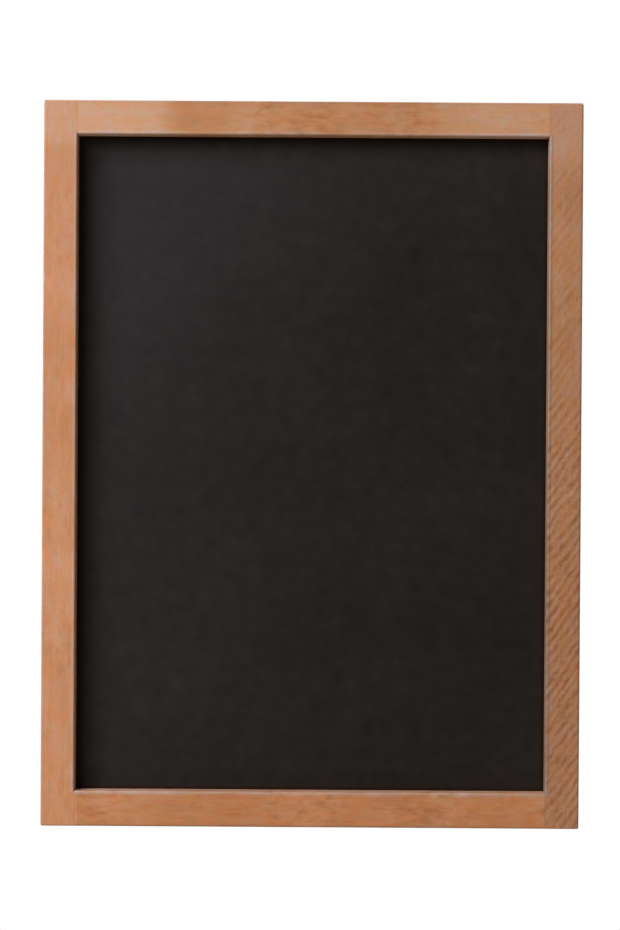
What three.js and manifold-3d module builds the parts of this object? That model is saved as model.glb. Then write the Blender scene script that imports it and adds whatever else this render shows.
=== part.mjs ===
// A portrait chalkboard in a plain wooden frame, made to hang on a wall.
// Millimetres. The front faces -Y, +Z is up and +X is to the right as seen from the front.
// The origin is the middle of the bottom rail's underside, halfway through the frame's depth.

import * as THREE from 'three';
import { mergeVertices } from 'three/addons/utils/BufferGeometryUtils.js';
import Module from 'manifold-3d';

const wasm = await Module();
wasm.setup();

// The frame
const boardWidth = 300;
const boardHeight = 404;
const frameDepth = 18;
const stileWidth = 18.9;
const topRailHeight = 19;
const bottomRailHeight = 19.8;
const arrisRadius = 1.2;
const outerCornerRadius = 1.4;
const recessDepth = 8;
const rebateWidth = 5;
const jointGap = 0.2;

// The board in the rebate
const writingSheetThickness = 0.6;
const backingBoardThickness = 3;
const boardClearance = 0.8;
const boardCornerRadius = 1;

// The dowels in the butt joints
const dowelDiameter = 5;
const dowelRailDepth = 12;
const dowelCover = 6.5;
const dowelChamfer = 0.5;
const dowelFlutes = 10;
const dowelFluteDepth = 0.3;
const dowelClearance = 0.3;
const dowelEndClearance = 0.5;

// The framer's points that hold the board in
const pointThickness = 0.6;
const pointWidth = 8;
const pointDriven = 6;
const pointShown = 7;
const pointTip = 3;
const pointClearance = 0.2;
const pointsPerStile = 3;
const pointsPerRail = 2;

// The strap hangers
const hangerDrop = 62;
const strapThickness = 1;
const strapWidth = 7.5;
const strapLength = 26;
const barrelBore = 2.5;
const barrelEndAngle = 110;
const ringWire = 2;
const ringWidth = 13;
const ringReach = 12.5;
const ringCornerRadius = 1.5;
const ringSeam = 0.4;

// The hanger screws
const screwHeadDiameter = 5.6;
const screwHeadHeight = 1.8;
const screwRimShare = 0.35;
const screwShankDiameter = 2.6;
const screwLength = 12;
const screwTipLength = 3;
const screwEndMargin = 4.5;
const screwHoleClearance = 0.3;
const recessArm = 1.5;
const recessSlot = 0.6;
const crossRecessDepth = 1;

// The bumpers
const bumperDiameter = 10;
const bumperHeight = 3;
const bumperFaceDiameter = 7;
const bumperSkirt = 0.8;

// Roundness
const arrisSteps = 4;
const holeSides = 20;
const wireSides = 10;
const ringSteps = 40;
const latheSides = 28;
const barrelSteps = 16;
const cutMargin = 2;

// Places that follow from the sizes above
const front = -frameDepth / 2;
const back = frameDepth / 2;
const halfWidth = boardWidth / 2;
const openingHalfWidth = halfWidth - stileWidth;
const openingBottom = bottomRailHeight;
const openingTop = boardHeight - topRailHeight;
const rebateHalfWidth = openingHalfWidth + rebateWidth;
const rebateBottom = openingBottom - rebateWidth;
const rebateTop = openingTop + rebateWidth;
const boardFront = front + recessDepth;
const sheetBack = boardFront + writingSheetThickness;
const boardBack = sheetBack + backingBoardThickness;
const stileLandCentre = (halfWidth + rebateHalfWidth) / 2;
const barrelRadius = barrelBore / 2 + strapThickness;
const pivotHeight = boardHeight - hangerDrop;
const pivotDepth = back + barrelRadius;
const screwHeight = pivotHeight - strapLength + screwEndMargin;
const strapBack = back + strapThickness;

const finish = (color, roughness, metalness = 0) => new THREE.MeshStandardMaterial({ color, roughness, metalness });
const materials = {
  leftWood: finish('#bd845f', 0.55),
  rightWood: finish('#a5714f', 0.55),
  topWood: finish('#bb8660', 0.55),
  bottomWood: finish('#ad7652', 0.55),
  dowelWood: finish('#cfa877', 0.7),
  writingSheet: finish('#2b2726', 0.85),
  hardboard: finish('#6f4d33', 0.8),
  pointSteel: finish('#9a9a98', 0.4, 1),
  hangerSteel: finish('#b9b4a6', 0.35, 1),
  rubber: finish('#1c1b1b', 0.9),
};

const board = new THREE.Group();

// Turning and placing shapes

const alongX = new THREE.Matrix4().makeBasis(
  new THREE.Vector3(0, 1, 0),
  new THREE.Vector3(0, 0, 1),
  new THREE.Vector3(1, 0, 0),
);
const alongBackwards = new THREE.Matrix4().makeBasis(
  new THREE.Vector3(-1, 0, 0),
  new THREE.Vector3(0, 0, 1),
  new THREE.Vector3(0, 1, 0),
);

function moved(geometry, x, y, z) {
  return geometry.clone().translate(x, y, z);
}

function box(low, high) {
  const size = high.map((value, axis) => value - low[axis]);
  const centre = high.map((value, axis) => (value + low[axis]) / 2);
  return new THREE.BoxGeometry(...size).translate(...centre);
}

function roundedRectangle(width, height, radius) {
  const shape = new THREE.Shape();
  const x = width / 2 - radius;
  const y = height / 2 - radius;
  shape.absarc(x, y, radius, 0, Math.PI / 2);
  shape.absarc(-x, y, radius, Math.PI / 2, Math.PI);
  shape.absarc(-x, -y, radius, Math.PI, Math.PI * 1.5);
  shape.absarc(x, -y, radius, Math.PI * 1.5, Math.PI * 2);
  return shape;
}

// Joining and cutting solids

function solid(geometry) {
  const bare = geometry.clone();
  bare.deleteAttribute('normal');
  bare.deleteAttribute('uv');
  const merged = mergeVertices(bare, 1e-4);
  const vertProperties = new Float32Array(merged.attributes.position.array);
  const triVerts = new Uint32Array(merged.index.array);
  return new wasm.Manifold(new wasm.Mesh({ numProp: 3, vertProperties, triVerts }));
}

function geometryOf(manifold) {
  const mesh = manifold.getMesh();
  const geometry = new THREE.BufferGeometry();
  geometry.setAttribute('position', new THREE.BufferAttribute(new Float32Array(mesh.vertProperties), 3));
  geometry.setIndex(new THREE.BufferAttribute(new Uint32Array(mesh.triVerts), 1));
  geometry.computeVertexNormals();
  return geometry;
}

function cut(body, cutters) {
  return cutters.reduce((left, cutter) => left.subtract(solid(cutter)), body);
}

function add(name, geometry, material, position = [0, 0, 0], turnAboutY = 0) {
  const mesh = new THREE.Mesh(geometry, material);
  mesh.name = name;
  mesh.position.set(...position);
  mesh.rotation.y = turnAboutY;
  board.add(mesh);
}

// The dowels: two in each joint, centred in the wood in front of the board and in the wood beside the rebate

const dowelStileDepth = stileWidth - dowelCover;
const dowelDepths = { front: front + recessDepth / 2, back: boardFront + (frameDepth - recessDepth) / 2 };
const dowelHeights = { top: (boardHeight + rebateTop) / 2, bottom: rebateBottom / 2 };
const dowelCentre = openingHalfWidth + (dowelStileDepth - dowelRailDepth) / 2;

const dowelSeats = [];
for (const [level, z] of Object.entries(dowelHeights)) {
  for (const [side, sign] of [['left', -1], ['right', 1]]) {
    for (const [face, y] of Object.entries(dowelDepths)) {
      dowelSeats.push({ name: `dowel_${level}_${side}_${face}`, position: [sign * dowelCentre, y, z] });
    }
  }
}

function dowelGeometry() {
  const shape = new THREE.Shape();
  const pointsPerFlute = 4;
  const outline = [];
  for (let i = 0; i < dowelFlutes * pointsPerFlute; i += 1) {
    const angle = (i / (dowelFlutes * pointsPerFlute)) * Math.PI * 2;
    const inFlute = i % pointsPerFlute === 0;
    const radius = dowelDiameter / 2 - (inFlute ? dowelFluteDepth : 0);
    outline.push(new THREE.Vector2(radius * Math.cos(angle), radius * Math.sin(angle)));
  }
  shape.setFromPoints(outline);
  const length = dowelStileDepth + dowelRailDepth;
  const geometry = new THREE.ExtrudeGeometry(shape, {
    depth: length - 2 * dowelChamfer,
    bevelThickness: dowelChamfer,
    bevelSize: dowelChamfer,
    bevelOffset: -dowelChamfer,
    bevelSegments: 1,
  });
  return geometry.translate(0, 0, dowelChamfer - length / 2).applyMatrix4(alongX);
}

function dowelHoles() {
  const radius = dowelDiameter / 2 + dowelClearance;
  const length = dowelStileDepth + dowelRailDepth + 2 * dowelEndClearance;
  const hole = new THREE.CylinderGeometry(radius, radius, length, holeSides).rotateZ(Math.PI / 2);
  return dowelSeats.map((seat) => moved(hole, ...seat.position));
}

// The framer's points: flat steel tabs driven into the rebate's walls, just behind the board

const pointDepth = boardBack + pointClearance + pointThickness / 2;

function alongWall(low, high, count) {
  return Array.from({ length: count }, (_, i) => low + ((high - low) * (i + 0.5)) / count);
}

const pointSeats = [];
const stilePointNames = ['lower', 'middle', 'upper'];
const railPointNames = ['left', 'right'];
alongWall(rebateBottom, rebateTop, pointsPerStile).forEach((z, i) => {
  const label = stilePointNames[i] ?? `row_${i + 1}`;
  pointSeats.push({ name: `point_left_${label}`, position: [-rebateHalfWidth, pointDepth, z], turn: 0 });
  pointSeats.push({ name: `point_right_${label}`, position: [rebateHalfWidth, pointDepth, z], turn: Math.PI });
});
alongWall(-rebateHalfWidth, rebateHalfWidth, pointsPerRail).forEach((x, i) => {
  const label = railPointNames[i] ?? `row_${i + 1}`;
  pointSeats.push({ name: `point_top_${label}`, position: [x, pointDepth, rebateTop], turn: Math.PI / 2 });
  pointSeats.push({ name: `point_bottom_${label}`, position: [x, pointDepth, rebateBottom], turn: -Math.PI / 2 });
});

// Drawn for the left wall: -X is into the wood, and the wall is at x = 0.
function pointGeometry() {
  const half = pointWidth / 2;
  const shape = new THREE.Shape();
  shape.moveTo(-pointDriven, 0);
  shape.lineTo(pointTip - pointDriven, -half);
  shape.lineTo(pointShown - half, -half);
  shape.absarc(pointShown - half, 0, half, -Math.PI / 2, Math.PI / 2);
  shape.lineTo(pointTip - pointDriven, half);
  const geometry = new THREE.ExtrudeGeometry(shape, {
    depth: pointThickness,
    bevelEnabled: false,
    curveSegments: 10,
  });
  return geometry.rotateX(Math.PI / 2).translate(0, pointThickness / 2, 0);
}

function pointSlots() {
  const half = pointWidth / 2 + pointClearance;
  const thick = pointThickness / 2 + pointClearance;
  const slot = box([-pointDriven - pointClearance, -thick, -half], [cutMargin, thick, half]);
  return pointSeats.map((seat) => moved(slot.clone().rotateY(seat.turn), ...seat.position));
}

// The hanger screws' places

const hangerSides = [['left', -1], ['right', 1]];
const screwSeats = hangerSides.map(([side, sign]) => [sign * stileLandCentre, strapBack, screwHeight]);

function pilotHoles() {
  const radius = screwShankDiameter / 2 + screwHoleClearance;
  const depth = screwLength + screwHoleClearance;
  const hole = new THREE.CylinderGeometry(radius, radius, depth + cutMargin, holeSides);
  hole.translate(0, (cutMargin - depth) / 2, 0);
  return screwSeats.map((seat) => moved(hole, ...seat));
}

// The frame: one rounded outline with its opening, its rebate and its holes, parted into two stiles and two rails

function frameOutline(shape, eased) {
  const options = eased
    ? {
        depth: frameDepth - 2 * arrisRadius,
        bevelThickness: arrisRadius,
        bevelSize: arrisRadius,
        bevelOffset: -arrisRadius,
        bevelSegments: arrisSteps,
      }
    : { depth: frameDepth, bevelEnabled: false, curveSegments: arrisSteps };
  const geometry = new THREE.ExtrudeGeometry(shape, options);
  const lift = eased ? arrisRadius : 0;
  geometry.rotateX(Math.PI / 2);
  return geometry.translate(0, back - lift, 0);
}

function frameBody() {
  const outline = new THREE.Shape();
  outline.moveTo(-halfWidth, 0);
  outline.lineTo(halfWidth, 0);
  outline.lineTo(halfWidth, boardHeight);
  outline.lineTo(-halfWidth, boardHeight);
  const opening = new THREE.Path();
  opening.moveTo(-openingHalfWidth, openingBottom);
  opening.lineTo(-openingHalfWidth, openingTop);
  opening.lineTo(openingHalfWidth, openingTop);
  opening.lineTo(openingHalfWidth, openingBottom);
  outline.holes.push(opening);
  const corners = roundedRectangle(boardWidth, boardHeight, outerCornerRadius);
  const cornerGeometry = moved(frameOutline(corners, false), 0, 0, boardHeight / 2);
  const rebate = box(
    [-rebateHalfWidth, boardFront, rebateBottom],
    [rebateHalfWidth, back + cutMargin, rebateTop],
  );
  const cutters = [rebate, ...dowelHoles(), ...pointSlots(), ...pilotHoles()];
  return cut(solid(frameOutline(outline, true)).intersect(solid(cornerGeometry)), cutters);
}

function memberRegion(lowX, highX, lowZ, highZ) {
  return solid(box([lowX, front - cutMargin, lowZ], [highX, back + cutMargin, highZ]));
}

const frame = frameBody();
const outside = halfWidth + cutMargin;
const above = boardHeight + cutMargin;
const below = -cutMargin;
const middle = boardHeight / 2;
const railEnd = openingHalfWidth - jointGap;
const members = [
  ['left_stile', memberRegion(-outside, -openingHalfWidth, below, above), materials.leftWood],
  ['right_stile', memberRegion(openingHalfWidth, outside, below, above), materials.rightWood],
  ['top_rail', memberRegion(-railEnd, railEnd, middle, above), materials.topWood],
  ['bottom_rail', memberRegion(-railEnd, railEnd, below, middle), materials.bottomWood],
];
for (const [name, region, material] of members) {
  add(name, geometryOf(frame.intersect(region)), material);
}

for (const seat of dowelSeats) {
  add(seat.name, dowelGeometry(), materials.dowelWood, seat.position);
}

// The board: a thin writing sheet bonded to the front of a hardboard panel

const panelWidth = 2 * (rebateHalfWidth - boardClearance);
const panelHeight = rebateTop - rebateBottom - 2 * boardClearance;
const panelCentre = (rebateTop + rebateBottom) / 2;

function panelGeometry(thickness) {
  const shape = roundedRectangle(panelWidth, panelHeight, boardCornerRadius);
  const options = { depth: thickness, bevelEnabled: false, curveSegments: arrisSteps };
  return new THREE.ExtrudeGeometry(shape, options).rotateX(Math.PI / 2);
}

add('writing_sheet', panelGeometry(writingSheetThickness), materials.writingSheet, [0, sheetBack, panelCentre]);
add('backing_board', panelGeometry(backingBoardThickness), materials.hardboard, [0, boardBack, panelCentre]);

for (const seat of pointSeats) {
  add(seat.name, pointGeometry(), materials.pointSteel, seat.position, seat.turn);
}

// The strap hangers: a plate rolled into a barrel round the ring's bar, drawn with the pivot at the origin

function strapProfile() {
  const bore = barrelBore / 2;
  const end = -THREE.MathUtils.degToRad(barrelEndAngle);
  const shape = new THREE.Shape();
  shape.moveTo(-barrelRadius, -strapLength);
  shape.lineTo(-bore, -strapLength);
  shape.lineTo(-bore, 0);
  shape.absarc(0, 0, bore, Math.PI, end, true);
  shape.absarc(0, 0, barrelRadius, end, Math.PI, false);
  return shape;
}

function strapFace() {
  const shape = new THREE.Shape();
  const half = strapWidth / 2;
  shape.moveTo(-half, 2 * barrelRadius);
  shape.lineTo(-half, half - strapLength);
  shape.absarc(0, half - strapLength, half, Math.PI, Math.PI * 2);
  shape.lineTo(half, 2 * barrelRadius);
  return shape;
}

function strapGeometry() {
  const rolled = new THREE.ExtrudeGeometry(strapProfile(), {
    depth: strapWidth,
    bevelEnabled: false,
    curveSegments: barrelSteps,
  });
  rolled.translate(0, 0, -strapWidth / 2).applyMatrix4(alongX);
  const face = new THREE.ExtrudeGeometry(strapFace(), {
    depth: 4 * barrelRadius,
    bevelEnabled: false,
    curveSegments: barrelSteps,
  });
  face.translate(0, 0, -2 * barrelRadius).applyMatrix4(alongBackwards);
  const holeRadius = screwShankDiameter / 2 + screwHoleClearance;
  const hole = new THREE.CylinderGeometry(holeRadius, holeRadius, 2 * barrelRadius, holeSides);
  hole.translate(0, -barrelRadius, screwHeight - pivotHeight);
  return geometryOf(cut(solid(rolled).intersect(solid(face)), [hole]));
}

// The ring's wire, from its seam in the barrel, round the bow and back to the seam

class RingPath extends THREE.CurvePath {
  constructor() {
    super();
    const half = (ringWidth - ringWire) / 2;
    const reach = ringReach - ringWire / 2;
    const round = 0.5523;
    const corner = ringCornerRadius;
    const bow = half;
    const legEnd = reach - bow;
    const point = (x, z) => new THREE.Vector3(x, 0, z);
    const rightSide = [
      [point(ringSeam / 2, 0), point(half - corner, 0)],
      [
        point(half - corner, 0),
        point(half - corner + corner * round, 0),
        point(half, -corner + corner * round),
        point(half, -corner),
      ],
      [point(half, -corner), point(half, -legEnd)],
      [point(half, -legEnd), point(half, -legEnd - bow * round), point(half * round, -reach), point(0, -reach)],
    ];
    const mirrored = (p) => point(-p.x, p.z);
    const leftSide = rightSide.map((run) => run.map(mirrored).reverse()).reverse();
    for (const run of [...rightSide, ...leftSide]) {
      this.add(run.length === 2 ? new THREE.LineCurve3(...run) : new THREE.CubicBezierCurve3(...run));
    }
  }
}

function ringGeometry() {
  const section = new THREE.Shape().absarc(0, 0, ringWire / 2, 0, Math.PI * 2);
  return new THREE.ExtrudeGeometry(section, {
    steps: ringSteps,
    extrudePath: new RingPath(),
    bevelEnabled: false,
    curveSegments: wireSides / 2,
  });
}

// A pan-headed wood screw with a cross recess, drawn with its seat at the origin and its head towards +Y

function screwGeometry() {
  const shank = screwShankDiameter / 2;
  const head = screwHeadDiameter / 2;
  const rim = screwHeadHeight * screwRimShare;
  const domeSteps = 4;
  const profile = [
    new THREE.Vector2(0, -screwLength),
    new THREE.Vector2(shank, screwTipLength - screwLength),
    new THREE.Vector2(shank, 0),
    new THREE.Vector2(head, 0),
    new THREE.Vector2(head, rim),
  ];
  for (let i = 1; i <= domeSteps; i += 1) {
    const angle = (i / domeSteps) * (Math.PI / 2);
    const height = rim + (screwHeadHeight - rim) * Math.sin(angle);
    profile.push(new THREE.Vector2(head * Math.cos(angle), height));
  }
  profile[profile.length - 1].x = 0;
  const body = solid(new THREE.LatheGeometry(profile, latheSides));
  const floor = screwHeadHeight - crossRecessDepth;
  const slot = box([-recessArm, floor, -recessSlot / 2], [recessArm, screwHeadHeight + cutMargin, recessSlot / 2]);
  return geometryOf(cut(body, [slot, slot.clone().rotateY(Math.PI / 2)]));
}

// A rubber bumper, drawn with its seat at the origin and its free face towards +Y

function bumperGeometry() {
  const radius = bumperDiameter / 2;
  const faceRadius = bumperFaceDiameter / 2;
  const shoulderSteps = 5;
  const profile = [new THREE.Vector2(0, 0), new THREE.Vector2(radius, 0), new THREE.Vector2(radius, bumperSkirt)];
  for (let i = 1; i <= shoulderSteps; i += 1) {
    const angle = (i / shoulderSteps) * (Math.PI / 2);
    profile.push(
      new THREE.Vector2(
        faceRadius + (radius - faceRadius) * Math.cos(angle),
        bumperSkirt + (bumperHeight - bumperSkirt) * Math.sin(angle),
      ),
    );
  }
  profile.push(new THREE.Vector2(0, bumperHeight));
  return new THREE.LatheGeometry(profile, latheSides);
}

hangerSides.forEach(([side, sign], i) => {
  const pivot = [sign * stileLandCentre, pivotDepth, pivotHeight];
  const corner = [sign * (halfWidth - stileWidth / 2), back, bottomRailHeight / 2];
  add(`${side}_hanger_plate`, strapGeometry(), materials.hangerSteel, pivot);
  add(`${side}_hanger_ring`, ringGeometry(), materials.hangerSteel, pivot);
  add(`${side}_hanger_screw`, screwGeometry(), materials.hangerSteel, screwSeats[i]);
  add(`${side}_bumper`, bumperGeometry(), materials.rubber, corner);
});

export default board;
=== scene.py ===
"""Dresses the framed chalkboard: its wooden frame, writing sheet, hardboard back and hanging hardware.

Metres. The writing side faces -Y, +Z is up and +X is to the right as seen from the front.
"""

import math
from typing import NamedTuple

import bmesh
import bpy
from bpy.props import FloatProperty, FloatVectorProperty, IntProperty, PointerProperty
from mathutils import Matrix, Vector, noise


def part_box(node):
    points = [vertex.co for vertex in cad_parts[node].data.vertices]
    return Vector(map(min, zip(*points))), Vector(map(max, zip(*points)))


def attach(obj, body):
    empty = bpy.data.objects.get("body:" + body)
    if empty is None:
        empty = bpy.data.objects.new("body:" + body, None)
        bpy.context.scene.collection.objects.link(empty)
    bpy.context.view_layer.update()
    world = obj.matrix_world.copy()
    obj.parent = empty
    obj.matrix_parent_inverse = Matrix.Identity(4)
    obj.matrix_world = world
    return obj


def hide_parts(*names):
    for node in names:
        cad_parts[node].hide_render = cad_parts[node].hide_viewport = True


bl_info = {
    "name": "Framed Chalkboard",
    "version": (1, 0, 0),
    "blender": (4, 5, 0),
    "location": "3D View > Sidebar > Chalkboard",
    "description": "Models and finishes a wall chalkboard in a plain wooden frame",
    "category": "Object",
}

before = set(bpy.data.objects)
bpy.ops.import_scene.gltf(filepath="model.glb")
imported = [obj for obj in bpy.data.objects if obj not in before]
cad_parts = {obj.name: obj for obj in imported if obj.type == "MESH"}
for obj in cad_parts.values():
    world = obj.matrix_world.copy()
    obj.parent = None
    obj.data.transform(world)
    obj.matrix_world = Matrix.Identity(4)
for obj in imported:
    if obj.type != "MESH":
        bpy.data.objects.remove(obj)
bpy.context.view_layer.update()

MM = 0.001
DIRECTIONS = {0: Vector((1, 0, 0)), 2: Vector((0, 0, 1))}
SIDES = ("left", "right")

# Distances below which points count as one, and as level with each other
TOUCHING = 1e-7
NEARLY = 1e-6

# How far in front of the frame's middle the pith lay, and the painted contact shadow along the sheet's rim:
# its width and fade
PITH_AHEAD = 26 * MM
CONTACT_SHADE_WIDTH = (0.8 * MM, 1.8 * MM)

# The gap that makes a butt joint's line, and the length between sections of a member
HAIRLINE = 0.05 * MM
SECTION_SPACING = 12 * MM

# How fast the sanding and the sheet's bow vary, per metre
SANDING_FREQUENCY = 45
BOW_FREQUENCY = 14

# How far the edges of small pieces are eased
PANEL_ARRIS = 0.12 * MM
POINT_ARRIS = 0.08 * MM
STRAP_ARRIS = 0.16 * MM
SCREW_ARRIS = 0.2 * MM
BUMPER_ARRIS = 0.15 * MM

# The length of a framer's point's tip, half the gap in a ring's wire and how far a strap is rolled
POINT_TIP = 3 * MM
RING_SEAM = 0.2 * MM
BARREL_SWEEP = math.radians(290)

# The screw's shank and tip, and its recess: the size of each bar that cuts it and the first one's turn
SHANK_RADIUS = 1.3 * MM
SHANK_TIP = 3 * MM
RECESS = (3.2 * MM, 2.1 * MM, 0.62 * MM)
RECESS_TURN = 0.35

# The bumper's straight skirt, and the dimple in its face as pairs of radius and depth
BUMPER_SKIRT = 0.8 * MM
BUMPER_DIMPLE = ((1.5 * MM, 0.0), (1.1 * MM, 0.3 * MM), (0.0, 0.35 * MM))

# The picture's height, and how far along X from the board's centre the camera aims, in rows of pixels
PICTURE_ROWS = 930
AIM_SHIFT_ROWS = -1.7

# The floor's size, where it starts and ends to fade, and the size of its clouds
FLOOR_RADIUS = 1.6
FLOOR_FADE = (0.7, 1.5)
FLOOR_MOTTLE = 1 / 6

# The colours of the light, and how strong the fill at the left is beside the back lamp
SKY_TINT = (0.97, 0.98, 1.0)
LAMP_TINT = (1.0, 0.98, 0.95)
REAR_FILL_SHARE = 0.5

# Each lamp's name, place and size
LAMPS = (
    ("key", (-1.15, -1.15, 1.5), (1.1, 0.9)),
    ("side", (-1.45, -0.7, 0.7), (0.7, 0.5)),
    ("back", (1.37, 0.7, 1.1), (0.9, 0.9)),
    ("rear_fill", (-0.7, 1.5, 0.7), (0.9, 0.9)),
    ("edge_strip", (1.3, 0.015, 0.45), (0.05, 0.7)),
)

LEFT_LOW, LEFT_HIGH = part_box("left_stile")
RIGHT_LOW, RIGHT_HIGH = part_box("right_stile")
TOP_LOW, TOP_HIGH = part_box("top_rail")
BOTTOM_LOW, BOTTOM_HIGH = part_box("bottom_rail")
SHEET_LOW, SHEET_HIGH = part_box("writing_sheet")
BACKING_LOW, BACKING_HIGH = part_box("backing_board")
BOARD_CENTRE = (LEFT_LOW + RIGHT_HIGH) / 2
BOARD_HEIGHT = LEFT_HIGH.z - LEFT_LOW.z
FRONT = LEFT_LOW.y
BACK = LEFT_HIGH.y


def shade(red, green, blue):
    """A colour given as it shows on a screen, 0 to 255, in Blender's linear values."""

    def linear(value):
        share = value / 255
        return share / 12.92 if share <= 0.04045 else ((share + 0.055) / 1.055) ** 2.4

    return (linear(red), linear(green), linear(blue))


def colour_setting(name, description, default):
    return FloatVectorProperty(
        name=name, description=description, default=default, subtype="COLOR", min=0, max=1
    )


def length_setting(name, description, default):
    return FloatProperty(
        name=name, description=description, default=default, unit="LENGTH", precision=5, min=0
    )


def angle_setting(name, description, degrees):
    return FloatProperty(name=name, description=description, default=math.radians(degrees), subtype="ANGLE")


def power_setting(name, description, default):
    return FloatProperty(name=name, description=description, default=default, unit="POWER", min=0)


class WoodSettings(bpy.types.PropertyGroup):
    """The frame's wood and how its edges are eased."""

    left_colour: colour_setting("Left stile", "Oiled wood of the left stile", shade(199, 140, 101))
    right_colour: colour_setting("Right stile", "Oiled wood of the right stile", shade(184, 130, 93))
    top_colour: colour_setting("Top rail", "Oiled wood of the top rail", shade(194, 139, 98))
    bottom_colour: colour_setting("Bottom rail", "Oiled wood of the bottom rail", shade(203, 139, 95))
    arris_radius: length_setting("Arris", "Radius of the eased edges", 1.2 * MM)
    arris_segments: IntProperty(name="Arris segments", description="Faces round an arris", default=5, min=1)
    board_clearance: length_setting("Clearance", "Room for the board in its rebate", 0.8 * MM)
    unevenness: length_setting("Unevenness", "How far hand sanding dips the surfaces", 0.06 * MM)
    ring_spacing: length_setting("Grain lines", "Distance between growth lines on a face", 2.4 * MM)
    figure_pitch: length_setting("Figure pitch", "Distance between slanted streaks", 4.2 * MM)
    figure_angle: angle_setting("Figure angle", "Lean of the slanted streaks from the stile's length", 36)


class BoardSettings(bpy.types.PropertyGroup):
    """The writing sheet and the hardboard behind it."""

    sheet_colour: colour_setting("Writing sheet", "Matt charcoal coating", shade(41, 37, 34))
    # The chalk's colour, also used for the painted sheen at the board's upper left
    dust_and_sheen_colour: colour_setting("Chalk haze", "What a wiped board keeps of its chalk", shade(98, 96, 112))
    hardboard_colour: colour_setting("Hardboard", "Brown pressed fibre", shade(128, 88, 57))
    screen_pitch: length_setting("Screen pitch", "Spacing of the pressed screen pattern", 1.3 * MM)
    sheet_wave: length_setting("Sheet wave", "How far the writing sheet bows back", 0.12 * MM)


class HardwareSettings(bpy.types.PropertyGroup):
    """The hangers, screws, framer's points and bumpers."""

    zinc_colour: colour_setting("Zinc", "Bright zinc plating", shade(196, 194, 186))
    steel_colour: colour_setting("Steel", "Bare rolled steel", shade(150, 150, 148))
    rubber_colour: colour_setting("Rubber", "Matt black rubber", shade(34, 33, 33))
    wire_diameter: length_setting("Ring wire", "Diameter of the ring's wire", 2 * MM)
    ring_corner: length_setting("Ring corner", "Radius of the ring's upper corners", 1.5 * MM)
    strap_thickness: length_setting("Strap", "Thickness of the hanger's strap", 1 * MM)
    wire_sides: IntProperty(name="Wire sides", description="Faces round the wire", default=20, min=6)


class StudioSettings(bpy.types.PropertyGroup):
    """The camera, the lamps and the floor."""

    camera_distance: length_setting("Camera distance", "From the lens to the frame's face", 1.1)
    view_height: length_setting("View height", "Height that the picture spans at the frame's face", 0.51706)
    camera_roll: angle_setting("Camera roll", "Turn about the line of sight", 0.37)
    key_power: power_setting("Key lamp", "Power of the soft key lamp", 33.5)
    side_power: power_setting("Side lamp", "Power of the lamp at the left", 13.5)
    back_power: power_setting("Back lamp", "Power of the lamp behind at the right; the left has half", 24.0)
    edge_power: power_setting("Edge strip", "Power of the strip at the right", 1.6)
    sky_strength: FloatProperty(name="Sky", description="Strength of the even light", default=0.07, min=0)
    camera_rise: length_setting("Camera rise", "How far the lens stands above what it looks at", 0.0092)
    floor_drop: length_setting("Floor drop", "From the frame's lower edge to the floor", 0.7)


class ChalkboardSettings(bpy.types.PropertyGroup):
    """Everything that a user would change."""

    wood: PointerProperty(type=WoodSettings)
    board: PointerProperty(type=BoardSettings)
    hardware: PointerProperty(type=HardwareSettings)
    studio: PointerProperty(type=StudioSettings)


def chosen(group):
    """The scene's settings of one group."""
    return getattr(bpy.context.scene.chalkboard, group)


class Value:
    """A number that a material works out. Arithmetic with it adds the nodes that do it."""

    def __init__(self, finish, socket):
        self.finish = finish
        self.socket = socket

    def __add__(self, other):
        return self.finish.maths("ADD", self, other)

    __radd__ = __add__

    def __sub__(self, other):
        return self.finish.maths("SUBTRACT", self, other)

    def __mul__(self, other):
        return self.finish.maths("MULTIPLY", self, other)

    def __truediv__(self, other):
        return self.finish.maths("DIVIDE", self, other)

    def __abs__(self):
        return self.finish.maths("ABSOLUTE", self)

    def at_least(self, other):
        return self.finish.maths("MAXIMUM", self, other)

    def centred(self, amount):
        """A 0 to 1 value as a swing of that amount about zero."""
        return (self - 0.5) * amount

    def ripple(self):
        """A smooth wave from 0 to 1, once for each whole step of the value."""
        return self.finish.maths("SINE", self * (2 * math.pi)) * 0.5 + 0.5

    def remap(self, low, high, to_low=0.0, to_high=1.0):
        """Eases from to_low to to_high while the value goes from low to high."""
        inputs = {"Value": self, "From Min": low, "From Max": high, "To Min": to_low, "To Max": to_high}
        made = self.finish.node("ShaderNodeMapRange", inputs, interpolation_type="SMOOTHSTEP", clamp=True)
        return Value(self.finish, made.outputs["Result"])

    def near(self, centre, core, fade):
        """1 within core of centre, falling to 0 over the fade."""
        return abs(self - centre).remap(core, core + fade, 1.0, 0.0)


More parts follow.
